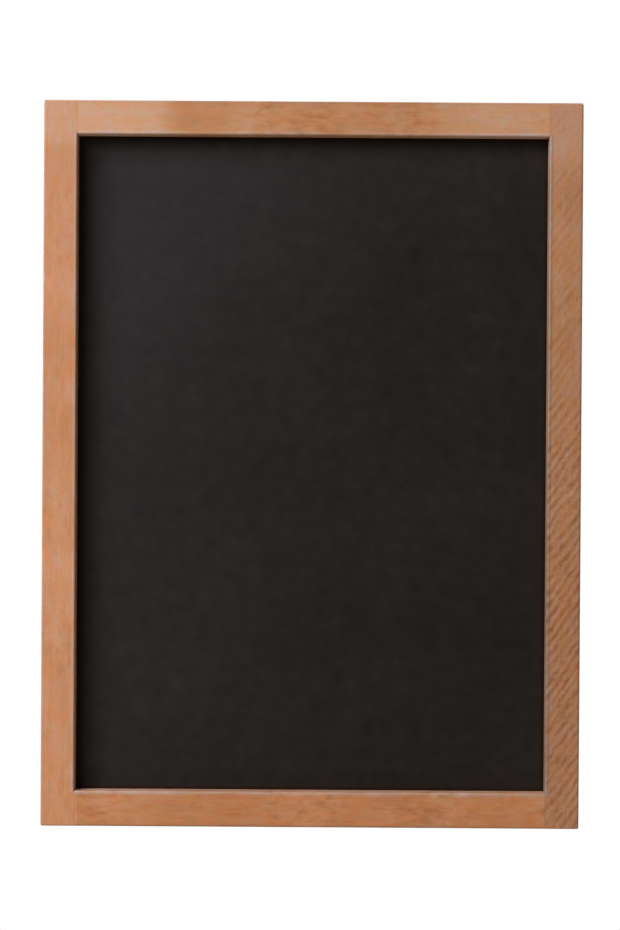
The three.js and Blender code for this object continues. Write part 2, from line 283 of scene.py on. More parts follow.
class Finish:
    """A material being built: most methods add a node and return its output."""

    def __init__(self, name, roughness=0.5, metallic=0.0, specular=0.5):
        self.material = bpy.data.materials.new(name)
        self.material.use_nodes = True
        self.tree = self.material.node_tree
        self.shader = self.tree.nodes["Principled BSDF"]
        self.shader.inputs["Roughness"].default_value = roughness
        self.shader.inputs["Metallic"].default_value = metallic
        self.shader.inputs["Specular IOR Level"].default_value = specular

    def feed(self, socket, value):
        if isinstance(value, Value):
            value = value.socket
        if isinstance(value, bpy.types.NodeSocket):
            self.tree.links.new(value, socket)
        else:
            socket.default_value = value

    def node(self, kind, inputs=(), **settings):
        made = self.tree.nodes.new(kind)
        for name, value in settings.items():
            setattr(made, name, value)
        for key, value in dict(inputs).items():
            self.feed(made.inputs[key], value)
        return made

    def surface(self, **inputs):
        for name, value in inputs.items():
            self.feed(self.shader.inputs[name.replace("_", " ").title()], value)

    def maths(self, operation, *values):
        made = self.node("ShaderNodeMath", dict(enumerate(values)), operation=operation)
        return Value(self, made.outputs["Value"])

    def place(self):
        return self.node("ShaderNodeTexCoord").outputs["Object"]

    def facing(self, axis):
        """How squarely the surface faces along an axis, from 0 to 1."""
        return abs(self.split(self.node("ShaderNodeNewGeometry").outputs["Normal"])[axis])

    def mapped(self, vector, scale=(1, 1, 1), location=(0, 0, 0), rotation=(0, 0, 0)):
        inputs = {"Vector": vector, "Scale": scale, "Location": location, "Rotation": rotation}
        return self.node("ShaderNodeMapping", inputs).outputs["Vector"]

    def split(self, vector):
        made = self.node("ShaderNodeSeparateXYZ", {"Vector": vector})
        return [Value(self, socket) for socket in made.outputs]

    def joined(self, x, y, z):
        return self.node("ShaderNodeCombineXYZ", {"X": x, "Y": y, "Z": z}).outputs["Vector"]

    def sized(self, vector, size, turn=(0, 0, 0)):
        """Scales a place so that a pattern's grains measure about size, one length or one for each axis."""
        sizes = size if isinstance(size, tuple) else (size,) * 3
        return self.mapped(vector, scale=tuple(1 / length for length in sizes), rotation=turn)

    def noise(self, vector, size, turn=(0, 0, 0), detail=2.0, roughness=0.5, distortion=0.0):
        inputs = {"Vector": self.sized(vector, size, turn), "Scale": 1.0, "Detail": detail}
        inputs |= {"Roughness": roughness, "Distortion": distortion}
        return Value(self, self.node("ShaderNodeTexNoise", inputs).outputs["Fac"])

    def cells(self, vector, size):
        inputs = {"Vector": self.sized(vector, size), "Scale": 1.0}
        return Value(self, self.node("ShaderNodeTexVoronoi", inputs).outputs["Distance"])

    def ramp(self, factor, *stops):
        made = self.node("ShaderNodeValToRGB", {"Fac": factor})
        elements = made.color_ramp.elements
        while len(elements) < len(stops):
            elements.new(0.5)
        for element, (position, colour) in zip(elements, stops):
            element.position = position
            element.color = (*colour, 1.0)
        return made.outputs["Color"]

    def mix(self, factor, first, second, blend="MIX"):
        made = self.node("ShaderNodeMix", data_type="RGBA", blend_type=blend)
        for index, value in ((0, factor), (6, first), (7, second)):
            self.feed(made.inputs[index], (*value, 1.0) if isinstance(value, tuple) else value)
        return made.outputs[2]

    def multiplied(self, colour, tint):
        return self.mix(1.0, colour, tint, "MULTIPLY")

    def tinted(self, factor, colour, tint):
        """The colour, multiplied by the tint as far as the factor says."""
        return self.mix(factor, colour, self.multiplied(colour, tint))

    def bump(self, height, distance, strength):
        inputs = {"Height": height, "Distance": distance, "Strength": strength}
        return self.node("ShaderNodeBump", inputs).outputs["Normal"]


def toned(colour, factors):
    """The colour, each channel multiplied by its factor, or all by one."""
    if not isinstance(factors, tuple):
        factors = (factors,) * 3
    return tuple(min(1.0, value * factor) for value, factor in zip(colour, factors))


class Figure(NamedTuple):
    """Slanted streaks across a stile: the heights between which they are strong, and their strength."""

    low: float
    high: float
    amount: float


class EdgeLight(NamedTuple):
    """Painted light on a member's inner edge: its tint, paler as a painted highlight and greyer as painted
    shade, and how deep behind the face it reaches.
    """

    tint: tuple
    depth: float


# Tints that multiply a wood's or the sheet's own colour
DARKER_WOOD = (0.66, 0.55, 0.46)
PALER_WOOD = (1.16, 1.33, 1.66)
PORE_WOOD = (0.5, 0.4, 0.33)
END_GRAIN = (0.6, 0.5, 0.42)
END_RINGS = (0.36, 0.27, 0.2)
ORANGE_TINT = (1.04, 0.95, 0.8)
CREAM_TINT = (0.99, 1.02, 1.1)
ROSE_TINT = (1.03, 0.96, 0.98)
OLIVE_TINT = (0.98, 1.01, 0.98)
# Painted shade: darkens and greys the frame's outer front arris
OUTER_ARRIS_SHADE = (0.84, 0.91, 1.0)
# Painted contact shadow with a reddish bounce, on the sheet beside the frame
CONTACT_SHADE_TINT = (0.95, 0.5, 0.3)
DARK_FIBRE = (0.6, 0.52, 0.46)
PALE_FIBRE = (1.3, 1.32, 1.35)
FIBRE_SPECKS = (0.5, 0.42, 0.36)
STAINED_METAL = (0.5, 0.44, 0.36)

# Painted light on the inner edges: paler highlights on the arris and the bottom rail's wall, greyer shade on
# the right stile's wall
ARRIS_HIGHLIGHT = EdgeLight((1.0, 1.24, 1.66), 1.3 * MM)
WALL_HIGHLIGHT = EdgeLight((0.9, 1.28, 2.1), 9 * MM)
WALL_SHADE = EdgeLight((0.6, 0.8, 1.1), 9 * MM)


def wood_finish(name, colour, along, edges, start, pale, washes, mottle, figure=None, inner_light=ARRIS_HIGHLIGHT):
    """Oiled, fine-grained wood.

    along is the grain's axis, edges are the member's inner and outer edge across it, and start is where the
    pattern begins. mottle says how cloudy the grain is, figure where it has slanted streaks and inner_light
    the tint of the painted light on its inner edge. Each stretch in pale and washes has its middle, its half
    length and how far it fades out, and then how much paler (or below zero darker) it is, or the tint that
    lies over it;
    some of them are painted light, as marked where they are listed. The outer front arris gets painted shade.
    """
    settings = chosen("wood")
    colour = tuple(colour)
    finish = Finish(name, roughness=0.5, specular=0.25)
    x, y, z = finish.split(finish.place())
    across, length = (x, z) if along == "Z" else (z, x)
    grain = finish.mapped(finish.joined(across, y, length), location=start)
    inner_edge, outer_edge = edges

    def stretched(width, run, detail=3.0, roughness=0.55, distortion=0.0):
        size = (width, width, run)
        return finish.noise(grain, size, detail=detail, roughness=roughness, distortion=distortion)

    fibres = stretched(0.55 * MM, 22 * MM, detail=4.0, roughness=0.6)
    streaks = stretched(3.4 * MM, 90 * MM, distortion=0.4)
    flames = stretched(3.6 * MM, 8 * MM, detail=1.0, distortion=0.3)
    dashes = stretched(1.3 * MM, 5 * MM, detail=1.5, distortion=0.6).remap(0.56, 0.72)
    clouds = stretched(11 * MM, 30 * MM, detail=2.0)
    lively = stretched(60 * MM, 55 * MM, detail=1.0).remap(0.4, 0.6, 0.35, 1.15)
    late = late_wood(across, y, stretched(12 * MM, 140 * MM, detail=2.0), settings.ring_spacing)

    tone = 0.5 + fibres.centred(0.2) + streaks.centred(0.3) + flames.centred(mottle) * lively
    tone = tone + clouds.centred(0.36) + dashes * (-0.1 * mottle) + late * -0.05
    for middle, half, fade, amount in pale:
        tone += length.near(middle, half, fade) * amount
    if figure:
        on_front = finish.facing(1).remap(0.2, 0.9, 0.45, 1.0)
        tone += slanted_figure(finish, x + y * 0.8, z, start, figure) * on_front

    darker, paler = toned(colour, DARKER_WOOD), toned(colour, PALER_WOOD)
    face = finish.ramp(tone, (0.0, darker), (0.5, colour), (1.0, paler))
    hue = stretched(5 * MM, 12 * MM, detail=2.0, distortion=0.5)
    blush = stretched(4 * MM, 7 * MM, detail=1.0, distortion=0.6)
    face = finish.multiplied(face, finish.ramp(hue, (0.36, ORANGE_TINT), (0.64, CREAM_TINT)))
    face = finish.multiplied(face, finish.ramp(blush, (0.38, OLIVE_TINT), (0.62, ROSE_TINT)))
    for middle, half, fade, tint in washes:
        face = finish.tinted(length.near(middle, half, fade), face, tint)

    pores = finish.cells(grain, (0.5 * MM, 0.5 * MM, 4.5 * MM)).remap(0.1, 0.26, 1.0, 0.0)
    pores *= streaks.remap(0.35, 0.6, 0.15, 0.5)
    face = finish.mix(pores, face, toned(colour, PORE_WOOD))

    # Painted shade along the outer front arris, where the rounded edge turns away from the light
    outer_arris_shade = across.near(outer_edge, 0.7 * MM, 1.5 * MM) * y.near(FRONT, 1.2 * MM, 1.5 * MM)
    # Painted light on the inner edge and, to the tint's depth, the wall behind it: highlights on most
    # members, shade on the right stile
    inner_edge_light = across.near(inner_edge, 1.2 * MM, 1.5 * MM) * y.near(FRONT, inner_light.depth, 1.2 * MM)
    if along == "Z":
        middle, reach = (TOP_LOW.z + BOTTOM_HIGH.z) / 2, (TOP_LOW.z - BOTTOM_HIGH.z) / 2
        inner_edge_light *= z.near(middle, reach - 0.5 * MM, 2 * MM)
    face = finish.tinted(inner_edge_light * clouds.remap(0.3, 0.6, 0.75, 1.0), face, inner_light.tint)
    face = finish.tinted(outer_arris_shade, face, OUTER_ARRIS_SHADE)

    cut_end = finish.facing(2 if along == "Z" else 0).remap(0.75, 0.95, 0.0, 0.9)
    rings = end_grain(finish, colour, across, y, grain, inner_edge, settings.ring_spacing)
    relief = fibres * 0.5 + late * 0.12 + pores * -0.9
    finish.surface(
        base_color=finish.mix(cut_end, face, rings),
        roughness=0.5 + streaks.centred(0.16) + pores * 0.2 + inner_edge_light.at_least(outer_arris_shade) * -0.06,
        normal=finish.bump(relief, 0.05 * MM, 0.5),
        coat_weight=0.06,
        coat_roughness=0.34,
    )
    return finish.material


def late_wood(across, y, waviness, spacing):
    """The darker late wood of the growth lines, which run along a member and lean through its thickness."""
    layers = (across + y * 0.6) / spacing + waviness.centred(7.0)
    return layers.ripple().remap(0.62, 1.0)


def end_grain(finish, colour, across, y, grain, inner_edge, spacing):
    """The cut end of a member: growth rings about a pith outside the wood, open pores and faint rays."""
    over = across - inner_edge * 0.8
    back = y + PITH_AHEAD
    radius = finish.maths("SQRT", over * over + back * back)
    waviness = finish.noise(grain, (7 * MM, 7 * MM, 1), detail=2.0)
    turns = radius / spacing + waviness.centred(0.9)
    rings = finish.maths("FRACT", turns).remap(0.55, 0.98)
    bearing = finish.maths("ARCTAN2", over, back) * 160.0
    rays = finish.noise(finish.joined(bearing, 0.0, 0.0), 1, detail=1.0).remap(0.55, 0.7, 0.0, 0.3)
    pores = finish.cells(grain, (0.42 * MM, 0.42 * MM, 1)).remap(0.16, 0.3, 0.6, 0.0)
    sawn = finish.mix(rings, toned(colour, END_GRAIN), toned(colour, END_RINGS))
    sawn = finish.mix(rays, sawn, toned(colour, DARKER_WOOD))
    return finish.mix(pores, sawn, toned(colour, PORE_WOOD))


def slanted_figure(finish, x, z, start, figure):
    """The slanted ripple across a stile, as a swing of the wood's tone: faint all over, strong lower down."""
    settings = chosen("wood")
    lean = (0.0, -settings.figure_angle, 0.0)
    plane = finish.mapped(finish.joined(x, 0.0, z), rotation=lean, location=start)
    over = finish.split(plane)[0]

    def flecks(width, run, **kind):
        return finish.noise(plane, (width, 1, run), **kind)

    bend = flecks(22 * MM, 40 * MM, detail=1.0)
    ragged = flecks(3 * MM, 4 * MM, detail=2.0)
    wave = (over / settings.figure_pitch + (bend.centred(1.4) + ragged.centred(0.6))).ripple()
    dashes = flecks(1.8 * MM, 4 * MM, detail=2.0, roughness=0.6)
    present = flecks(6 * MM, 9 * MM, detail=1.0).remap(0.34, 0.62, 0.25, 1.0)
    swing = wave.centred(figure.amount) * present + dashes.centred(figure.amount * 1.9)
    middle, half = (figure.low + figure.high) / 2, (figure.high - figure.low) / 2
    return swing * z.near(middle, half, 100 * MM).at_least(0.4)


def plain_wood_finish(name, colour):
    """Unfinished straight-grained wood, as on a dowel."""
    finish = Finish(name, roughness=0.75, specular=0.3)
    fibres = finish.noise(finish.place(), (18 * MM, 0.5 * MM, 0.5 * MM), detail=3.0, roughness=0.6)
    finish.surface(
        base_color=finish.ramp(fibres, (0.2, toned(colour, DARKER_WOOD)), (0.7, colour)),
        roughness=fibres.remap(0.2, 0.8, 0.65, 0.85),
        normal=finish.bump(fibres, 0.05 * MM, 0.6),
    )
    return finish.material


def sheet_finish():
    """Matt charcoal writing surface: a fine tooth, wiped chalk with a painted sheen towards the upper left,
    and a painted contact shadow with a reddish bounce along the rim beside the frame.
    """
    settings = chosen("board")
    colour = tuple(settings.sheet_colour)
    finish = Finish("charcoal_coating", roughness=0.7, specular=0.025)
    place = finish.place()
    x, _, z = finish.split(place)
    tooth = finish.noise(place, 0.45 * MM, detail=3.0, roughness=0.7)
    mottle = finish.noise(place, 9 * MM, detail=3.0, roughness=0.6)
    clouds = finish.noise(place, 70 * MM, detail=2.0)
    tone = 0.5 + tooth.centred(1.0) + mottle.centred(1.2) + clouds.centred(0.8)
    coat = finish.ramp(tone, (0.0, toned(colour, 0.66)), (0.5, colour), (1.0, toned(colour, 1.4)))
    # Chalk strokes and a painted sheen over the coating
    coat = finish.mix(chalk_and_sheen(finish, place, x, z, tooth), coat, tuple(settings.dust_and_sheen_colour))

    # Painted contact shadow with a reddish bounce along the sheet's rim beside the frame
    contact_shade = x.near(LEFT_HIGH.x, *CONTACT_SHADE_WIDTH)
    for value, edge in ((x, RIGHT_LOW.x), (z, TOP_LOW.z), (z, BOTTOM_HIGH.z)):
        contact_shade = contact_shade.at_least(value.near(edge, *CONTACT_SHADE_WIDTH))
    contact_shade *= mottle.remap(0.3, 0.6, 0.7, 1.0)
    finish.surface(
        base_color=finish.tinted(contact_shade, coat, CONTACT_SHADE_TINT),
        roughness=tone.remap(0.2, 0.8, 0.64, 0.76),
        normal=finish.bump(tooth + mottle * 0.6, 0.05 * MM, 0.5),
    )
    return finish.material


def chalk_and_sheen(finish, place, x, z, tooth):
    """How much wiped chalk is left, as slanted strokes, and a painted sheen that grows towards the upper left
    and is cut back beside the frame as painted shadow.
    """
    slant, size = (0.0, math.radians(24), 0.0), (85 * MM, 1, 11 * MM)
    strokes = finish.noise(place, size, slant, detail=4.0, roughness=0.6, distortion=0.4)
    strokes = strokes.remap(0.45, 0.75) * tooth.remap(0.4, 0.7, 0.3, 1.0)
    # The strokes are chalk; the terms towards the left and the upper left are a painted sheen
    leftward = x * -1.0
    dust_and_sheen = strokes * 0.03 + leftward.remap(-0.06, 0.16, 0.0, 0.07)
    dust_and_sheen += (leftward * 0.5 + z).remap(0.24, 0.42, 0.0, 0.065)
    # Painted shadow: less of it beside the left stile and the top rail, where their shadows fall
    left_painted_shadow = x.remap(LEFT_HIGH.x + 2 * MM, LEFT_HIGH.x + 24 * MM, 0.1, 1.0)
    top_painted_shadow = z.remap(TOP_LOW.z - 20 * MM, TOP_LOW.z - 2 * MM, 1.0, 0.1)
    return dust_and_sheen * left_painted_shadow * top_painted_shadow


def hardboard_finish():
    """Pressed fibre board with the crossed marks of its screen on the rough side."""
    settings = chosen("board")
    colour = tuple(settings.hardboard_colour)
    finish = Finish("pressed_hardboard", roughness=0.8, specular=0.25)
    place = finish.place()
    x, _, z = finish.split(place)
    drift = finish.noise(place, 25 * MM).centred(0.5 * MM)
    pitch = settings.screen_pitch
    screen = ((x + drift) / pitch).ripple() * ((z + drift) / pitch).ripple()
    fibres = finish.noise(place, 0.8 * MM, detail=4.0, roughness=0.7, distortion=1.2)
    clouds = finish.noise(place, 45 * MM, detail=3.0)
    patches = finish.noise(place, 13 * MM, detail=3.0, roughness=0.65)
    specks = finish.cells(place, 4.5 * MM).remap(0.06, 0.16, 0.6, 0.0)
    scuffs = finish.noise(place, (60 * MM, 1, 1.2 * MM), (0.0, 0.5, 0.0), detail=3.0, roughness=0.6)
    scuffs = scuffs.remap(0.62, 0.74) * clouds.remap(0.5, 0.62, 0.0, 0.5)
    tone = 0.5 + fibres.centred(0.6) + clouds.centred(0.7) + patches.centred(0.5)
    tone = tone + screen.centred(0.3) + scuffs * 0.5
    darker, paler = toned(colour, DARK_FIBRE), toned(colour, PALE_FIBRE)
    face = finish.ramp(tone, (0.0, darker), (0.5, colour), (1.0, paler))
    finish.surface(
        base_color=finish.mix(specks, face, toned(colour, FIBRE_SPECKS)),
        roughness=tone.remap(0.2, 0.8, 0.86, 0.74),
        normal=finish.bump(screen + fibres * 0.5, 0.12 * MM, 0.7),
    )
    return finish.material


def metal_finish(name, colour, roughness, tarnish):
    """Plated or bare steel with clouding, fine scratches and darker tarnished patches."""
    finish = Finish(name, roughness=roughness, metallic=1.0)
    place = finish.place()
    clouds = finish.noise(place, 2.4 * MM, detail=3.0, roughness=0.6)
    grains = finish.noise(place, 0.25 * MM, detail=2.0)
    scratches = finish.noise(place, (9 * MM, 0.08 * MM, 0.08 * MM), (0.4, 0.7, 0.2), detail=1.0)
    stain = clouds.remap(0.42, 0.72) * tarnish
    finish.surface(
        base_color=finish.mix(stain, tuple(colour), toned(colour, STAINED_METAL)),
        roughness=roughness + clouds.centred(0.16) + grains.centred(0.1) + stain * 0.3,
        normal=finish.bump(grains + scratches.remap(0.62, 0.74) * -0.8, 0.02 * MM, 0.4),
    )
    return finish.material


def rubber_finish():
    """Moulded rubber with a fine bloom."""
    colour = tuple(chosen("hardware").rubber_colour)
    finish = Finish("moulded_rubber", roughness=0.8, specular=0.35)
    place = finish.place()
    grain = finish.noise(place, 0.3 * MM, detail=3.0, roughness=0.7)
    bloom = finish.noise(place, 3 * MM, detail=2.0)
    finish.surface(
        base_color=finish.ramp(bloom, (0.3, toned(colour, 0.8)), (0.75, toned(colour, 1.8))),
        roughness=grain.remap(0.3, 0.7, 0.72, 0.9),
        normal=finish.bump(grain, 0.05 * MM, 0.5),
    )
    return finish.material


def finish_piece(bm, name, material, body, slot, *nodes, sharp=40):
    """Turns a bmesh into a piece that rides on a body and stands for its CAD nodes."""
    piece = mesh_object(name, bm)
    piece.data.shade_smooth()
    piece.data.set_sharp_from_angle(angle=math.radians(sharp))
    piece.data.materials.append(material)
    even = piece.modifiers.new("flat_faces_stay_flat", "WEIGHTED_NORMAL")
    even.keep_sharp = True
    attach(piece, body)
    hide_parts(*nodes)


def bevel_edges(bm, edges, radius, segments):
    """Rounds the edges off to a radius."""
    bmesh.ops.bevel(
        bm,
        geom=edges,
        offset=radius,
        offset_type="OFFSET",
        segments=segments,
        profile=0.5,
        affect="EDGES",
        clamp_overlap=True,
        material=-1,
    )


def face_outwards(bm):
    bmesh.ops.recalc_face_normals(bm, faces=bm.faces)


def cut(bm, point, normal, clear=False):
    """Cuts the mesh by a plane and can remove what lies on the normal's side."""
    geometry = [*bm.verts, *bm.edges, *bm.faces]
    bmesh.ops.bisect_plane(
        bm, geom=geometry, dist=TOUCHING, plane_co=point, plane_no=normal, clear_outer=clear
    )


def cut_away(bm, point, normal):
    """Removes the part of a solid on the normal's side of a plane and closes the cut."""
    cut(bm, point, normal, clear=True)
    open_edges = [edge for edge in bm.edges if edge.is_boundary]
    bmesh.ops.holes_fill(bm, edges=open_edges, sides=0)


def extrude(bm, face, step):
    """Extrudes a face by a step and returns its far end."""
    grown = bmesh.ops.extrude_face_region(bm, geom=[face])["geom"]
    verts = [item for item in grown if isinstance(item, bmesh.types.BMVert)]
    bmesh.ops.translate(bm, verts=verts, vec=step)
    return next(item for item in grown if isinstance(item, bmesh.types.BMFace))


def middle_of(low, high):
    return (low + high) / 2


def quarter_turns(steps):
    """Angles from 0 to a quarter turn."""
    return [math.pi / 2 * i / steps for i in range(steps + 1)]


def placed_object(name, data, place=(0, 0, 0)):
    made = bpy.data.objects.new(name, data)
    made.location = place
    bpy.context.scene.collection.objects.link(made)
    return made


def mesh_object(name, bm):
    """Turns a bmesh into an object with a mesh of the same name."""
    mesh = bpy.data.meshes.new(name)
    bm.to_mesh(mesh)
    bm.free()
    return placed_object(name, mesh)


def frame_ring(bm):
    """The whole frame as one moulding run round the opening, with its rebate and eased edges."""
    settings = chosen("wood")
    opening = (LEFT_HIGH.x, RIGHT_LOW.x, BOTTOM_HIGH.z, TOP_LOW.z)
    clear = settings.board_clearance
    rebate = (SHEET_LOW.x - clear, SHEET_HIGH.x + clear, SHEET_LOW.z - clear, SHEET_HIGH.z + clear)
    outside = (LEFT_LOW.x, RIGHT_HIGH.x, LEFT_LOW.z, LEFT_HIGH.z)
    section = (
        (outside, FRONT),
        (opening, FRONT),
        (opening, SHEET_LOW.y),
        (rebate, SHEET_LOW.y),
        (rebate, BACK),
        (outside, BACK),
    )
    loops = []
    for (left, right, low, high), y in section:
        corners = [(left, y, low), (right, y, low), (right, y, high), (left, y, high)]
        verts = [bm.verts.new(corner) for corner in corners]
        loops.append([bm.edges.new((verts[i], verts[(i + 1) % 4])) for i in range(4)])
    for i, loop in enumerate(loops):
        bmesh.ops.bridge_loops(bm, edges=loop + loops[(i + 1) % len(loops)])
    face_outwards(bm)
    eased = [*loops[0], *loops[1], *loops[4], *loops[5]]
    corners = [edge for edge in bm.edges if is_outer_corner(edge)]
    bevel_edges(bm, [*eased, *corners], settings.arris_radius, settings.arris_segments)


def is_outer_corner(edge):
    """Whether the edge runs from front to back at one of the frame's four outer corners."""
    first, last = (vert.co for vert in edge.verts)
    runs_back = abs(first.y - last.y) > (BACK - FRONT) / 2 and abs(first.x - last.x) < MM
    at_side = abs(first.x) > RIGHT_LOW.x
    at_end = min(abs(first.z - LEFT_LOW.z), abs(first.z - LEFT_HIGH.z)) < MM
    return runs_back and at_side and at_end


# How the wood of each member looks, in the words of wood_finish
MEMBERS = {
    "left_stile": {
        "along": "Z",
        "edges": (LEFT_HIGH.x, LEFT_LOW.x),
        "start": (0.31, 0.12, 0.7),
        "pale": (
            (0.302, 0.002, 0.01, 0.14),
            (0.146, 0.002, 0.012, 0.14),
            (0.396, 0.012, 0.008, 0.3),
            (0.34, 0.04, 0.05, 0.14),
        ),
        # The first wash is painted light: it brightens the lower part of the left stile, where the lamps
        # light it less
        "washes": ((0.02, 0.09, 0.26, (1.15, 1.21, 1.28)), (0.396, 0.01, 0.012, (0.95, 1.02, 1.1))),
        "mottle": 0.5,
    },
    "right_stile": {
        "along": "Z",
        "edges": (RIGHT_LOW.x, RIGHT_HIGH.x),
        "start": (1.71, 0.43, 0.2),
        "pale": ((0.322, 0.008, 0.02, 0.12), (0.396, 0.012, 0.03, 0.5), (0.012, 0.012, 0.02, 0.12)),
        "washes": ((0.3, 0.05, 0.14, (1.05, 1.09, 1.12)), (0.08, 0.04, 0.1, (0.97, 0.97, 0.96))),
        "mottle": 0.5,
        "figure": Figure(low=0.004, high=0.19, amount=0.62),
        # Painted shade: greys the right stile's inner edge and wall
        "inner_light": WALL_SHADE,
    },
    "top_rail": {
        "along": "X",
        "edges": (TOP_LOW.z, TOP_HIGH.z),
        "start": (0.83, 1.2, 0.5),
        "pale": ((-0.112, 0.02, 0.02, 0.62), (0.115, 0.03, 0.03, 0.42), (-0.039, 0.003, 0.008, 0.2)),
        "washes": ((-0.13, 0.02, 0.04, (1.04, 1.08, 1.16)), (0.13, 0.02, 0.04, (1.05, 1.07, 1.1))),
        "mottle": 0.75,
    },
    "bottom_rail": {
        "along": "X",
        "edges": (BOTTOM_HIGH.z, BOTTOM_LOW.z),
        "start": (2.2, 0.9, 0.1),
        # The last pale stretch is a painted highlight: a thin bright line at the rail's left end, by the
        # joint
        "pale": ((-0.12, 0.02, 0.02, 0.08), (-0.05, 0.02, 0.015, -0.06), (-0.1304, 0.0002, 0.0008, 0.3)),
        "washes": (),
        "mottle": 0.95,
        # Painted highlight: pales the bottom rail's inner edge and wall
        "inner_light": WALL_HIGHLIGHT,
    },
}


class CHALKBOARD_OT_frame_members(bpy.types.Operator):
    """Model the two stiles and the two rails"""

    bl_idname = "chalkboard.frame_members"
    bl_label = "Frame members"

    def member(self, name, cuts, axis, material, seed):
        """Cuts a member out of the frame. cuts lists planes, each with the side of it that goes."""
        bm = bmesh.new()
        frame_ring(bm)
        for point, normal in cuts:
            cut_away(bm, point, normal)
        low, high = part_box(name)
        position = low[axis] + SECTION_SPACING
        while position < high[axis] - SECTION_SPACING / 2:
            cut(bm, DIRECTIONS[axis] * position, DIRECTIONS[axis])
            position += SECTION_SPACING
        sand_down(bm, low, high, axis, seed, chosen("wood").unevenness)
        face_outwards(bm)
        finish_piece(bm, f"{name}_wood", material, "frame", "frame_wood", name)

    def execute(self, context):
        wood = chosen("wood")
        colours = (wood.left_colour, wood.right_colour, wood.top_colour, wood.bottom_colour)
        to_right, up = DIRECTIONS.values()
        left, right, middle = to_right * LEFT_HIGH.x, to_right * RIGHT_LOW.x, up * BOARD_HEIGHT / 2
        rail_ends = [(left + to_right * HAIRLINE, -to_right), (right - to_right * HAIRLINE, to_right)]
        cuts = (
            [(left, to_right)],
            [(right, -to_right)],
            [*rail_ends, (middle, -up)],
            [*rail_ends, (middle, up)],
        )
        for i, (name, looks) in enumerate(MEMBERS.items()):
            material = wood_finish(f"{name}_grain", colours[i], **looks)
            axis = 2 if looks["along"] == "Z" else 0
            self.member(name, cuts[i], axis, material, i + 1)
        return {"FINISHED"}


def sand_down(bm, low, high, axis, seed, depth):
    """Dips the surface unevenly, by up to the depth, towards the line along the member's middle."""
    centre = middle_of(low, high)
    shift = Vector((seed * 7.3, seed * 3.1, seed * 5.7))
    for vert in bm.verts:
        inward = centre - vert.co
        inward[axis] = 0
        dip = 0.5 + 0.5 * noise.noise(vert.co * SANDING_FREQUENCY + shift)
        vert.co += inward.normalized() * depth * dip


class CHALKBOARD_OT_writing_sheet(bpy.types.Operator):
    """Model the charcoal writing sheet"""

    bl_idname = "chalkboard.writing_sheet"
    bl_label = "Writing sheet"

    def execute(self, context):
        settings = chosen("board")
        bm = panel_body(SHEET_LOW, SHEET_HIGH, 10 * MM)
        span = SHEET_HIGH - SHEET_LOW
        for vert in bm.verts:
            if vert.co.y < SHEET_LOW.y + 0.1 * MM:
                slack = 0.7 + 0.3 * noise.noise(vert.co * BOW_FREQUENCY)
                for axis in DIRECTIONS:
                    share = (vert.co[axis] - SHEET_LOW[axis]) / span[axis]
                    slack *= math.sin(math.pi * min(1, max(0, share)))
                vert.co.y += settings.sheet_wave * slack
        finish_piece(bm, "writing_sheet_face", sheet_finish(), "frame", "writing_surface", "writing_sheet")
        return {"FINISHED"}


def panel_body(low, high, spacing):
    """A flat panel with eased edges, its faces divided about every spacing."""
    bm = bmesh.new()
    size = high - low
    matrix = Matrix.Translation(middle_of(low, high)) @ Matrix.Diagonal((*size, 1))
    bmesh.ops.create_cube(bm, size=1, matrix=matrix)
    bevel_edges(bm, list(bm.edges), PANEL_ARRIS, 2)
    for axis, direction in DIRECTIONS.items():
        count = max(2, round(size[axis] / spacing))
        for i in range(1, count):
            cut(bm, direction * (low[axis] + size[axis] * i / count), direction)
    return bm


class CHALKBOARD_OT_backing_board(bpy.types.Operator):
    """Model the hardboard behind the writing sheet"""

    bl_idname = "chalkboard.backing_board"
    bl_label = "Backing board"

    def execute(self, context):
        bm = panel_body(BACKING_LOW, BACKING_HIGH, 40 * MM)
        finish_piece(bm, "backing_board_panel", hardboard_finish(), "frame", "hardboard", "backing_board")
        return {"FINISHED"}


class CHALKBOARD_OT_dowels(bpy.types.Operator):
    """Finish the dowels inside the joints"""

    bl_idname = "chalkboard.dowels"
    bl_label = "Dowels"

    def execute(self, context):
        beech = plain_wood_finish("dowel_grain", shade(207, 168, 119))
        for name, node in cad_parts.items():
            if name.startswith("dowel_"):
                node.data.materials.clear()
                node.data.materials.append(beech)
        return {"FINISHED"}


class CHALKBOARD_OT_framers_points(bpy.types.Operator):
    """Model the steel points that hold the board in its rebate"""

    bl_idname = "chalkboard.framers_points"
    bl_label = "Framer's points"

    def point(self, name, material):
        """A flat point, sharp at the end in the wood and round at the other."""
        low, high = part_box(name)
        centre = middle_of(low, high)
        size = high - low
        length, half = max(size.x, size.z), min(size.x, size.z) / 2
        axis = 0 if size.x > size.z else 2
        away = centre.x if axis == 0 else centre.z - BOARD_HEIGHT / 2
        out_of_wood = DIRECTIONS[axis] * -math.copysign(1, away)
        side = Vector((0, 1, 0)).cross(out_of_wood)
        rows = [(-length / 2, 0.0), (POINT_TIP - length / 2, half)]
        for turn in quarter_turns(8):
            rows.append((length / 2 - half + half * math.sin(turn), half * math.cos(turn)))
        outline = [centre + out_of_wood * run + side * wide for run, wide in rows]
        outline += [centre + out_of_wood * run - side * wide for run, wide in reversed(rows[1:-1])]
        bm = bmesh.new()
        verts = [bm.verts.new(spot - Vector((0, size.y / 2, 0))) for spot in outline]
        extrude(bm, bm.faces.new(verts), (0, size.y, 0))
        face_outwards(bm)
        bevel_edges(bm, list(bm.edges), POINT_ARRIS, 2)
        finish_piece(bm, f"{name}_steel", material, "frame", "point_steel", name)

    def execute(self, context):
        steel = metal_finish("rolled_steel", chosen("hardware").steel_colour, 0.42, 0.5)
        for name in sorted(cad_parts):
            if name.startswith("point_"):
                self.point(name, steel)
        return {"FINISHED"}


def pivot_of(side):
    """The middle of a hanger's barrel, from the ring that turns in it."""
    wire = chosen("hardware").wire_diameter
    low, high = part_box(f"{side}_hanger_ring")
    pivot = middle_of(low, high)
    pivot.z = high.z - wire / 2
    return pivot


